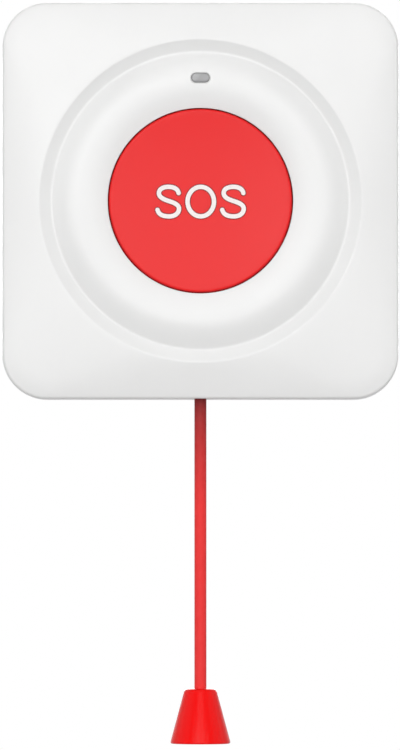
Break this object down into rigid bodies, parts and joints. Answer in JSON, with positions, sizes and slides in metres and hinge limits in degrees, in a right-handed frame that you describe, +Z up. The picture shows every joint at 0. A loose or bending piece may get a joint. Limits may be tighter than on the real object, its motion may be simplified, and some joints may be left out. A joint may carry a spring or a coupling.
{
  "type": "wireless panic button",
  "caption": "Square wall-mounted wireless panic button with a round push button in a raised ring, a light window and a pull cord with a cone handle.",
  "frame": {"origin": "centre of the back plate's rear face, on the wall", "axes": "+X to the right, +Z up along the hanging cord, +Y into the wall, so the front faces -Y"},
  "size_m": [0.086, 0.022, 0.1603],
  "materials": {
    "white_plastic": "satin moulded",
    "plate_plastic": "fine texture",
    "foam_tape": "foam with a paper liner",
    "red_plastic": "gloss moulded",
    "cone_plastic": "gloss moulded",
    "cord_fibre": "fine braid",
    "light_pipe": "smoked clear",
    "lamp": "clear",
    "board_laminate": "solder mask",
    "black_plastic": "moulded",
    "slider_plastic": "moulded acetal",
    "steel": "bright",
    "tin": "tinned sheet",
    "brass": "plain",
    "can_aluminium": "satin"
  },
  "bodies": {
    "housing": {"front_cover": "white_plastic", "back_plate": "plate_plastic", "mounting_tape": "foam_tape", "light_window": "light_pipe", "status_lamp": "lamp", "main_board": "board_laminate", "board_screws": "steel", "cell_holder": "black_plastic", "coin_cell": "steel", "cell_clip": "tin", "cell_contact": "tin", "button_springs": "steel", "button_switch": "black_plastic", "slider_spring": "steel", "pull_switch": "black_plastic", "radio_board": "board_laminate", "radio_shield": "tin", "antenna_wire": "tin", "control_chip": "black_plastic", "crystal_can": "tin", "supply_capacitor": "can_aluminium", "small_parts": "black_plastic"},
    "button": {"button_cap": "red_plastic"},
    "button_contact": {"button_switch_stem": "slider_plastic"},
    "pull": {"pull_slider": "slider_plastic", "cord_crimp": "brass", "pull_cord": "cord_fibre", "pull_cone": "cone_plastic", "cord_knot": "cord_fibre"},
    "pull_contact": {"pull_switch_plunger": "slider_plastic"}
  },
  "joints": [
    {"name": "button_press", "type": "slide", "parent": "housing", "child": "button", "axis": [0, 1, 0], "range_m": [0, 0.001], "stiffness_N_per_m": 1500, "springref_m": -0.001, "deforming": ["button_springs"]},
    {"name": "button_switch_press", "type": "slide", "parent": "housing", "child": "button_contact", "axis": [0, 1, 0], "range_m": [0, 0.001]},
    {"name": "cord_pull", "type": "slide", "parent": "housing", "child": "pull", "axis": [0, 0, -1], "range_m": [0, 0.004], "stiffness_N_per_m": 400, "springref_m": -0.003, "deforming": ["slider_spring"]},
    {"name": "pull_switch_press", "type": "slide", "parent": "housing", "child": "pull_contact", "axis": [1, 0, 0], "range_m": [0, 0.001]}
  ],
  "couplings": [
    {"joint": "button_switch_press", "follows": "button_press", "ratio": 1},
    {"joint": "pull_switch_press", "follows": "cord_pull", "ratio": 0.25}
  ]
}
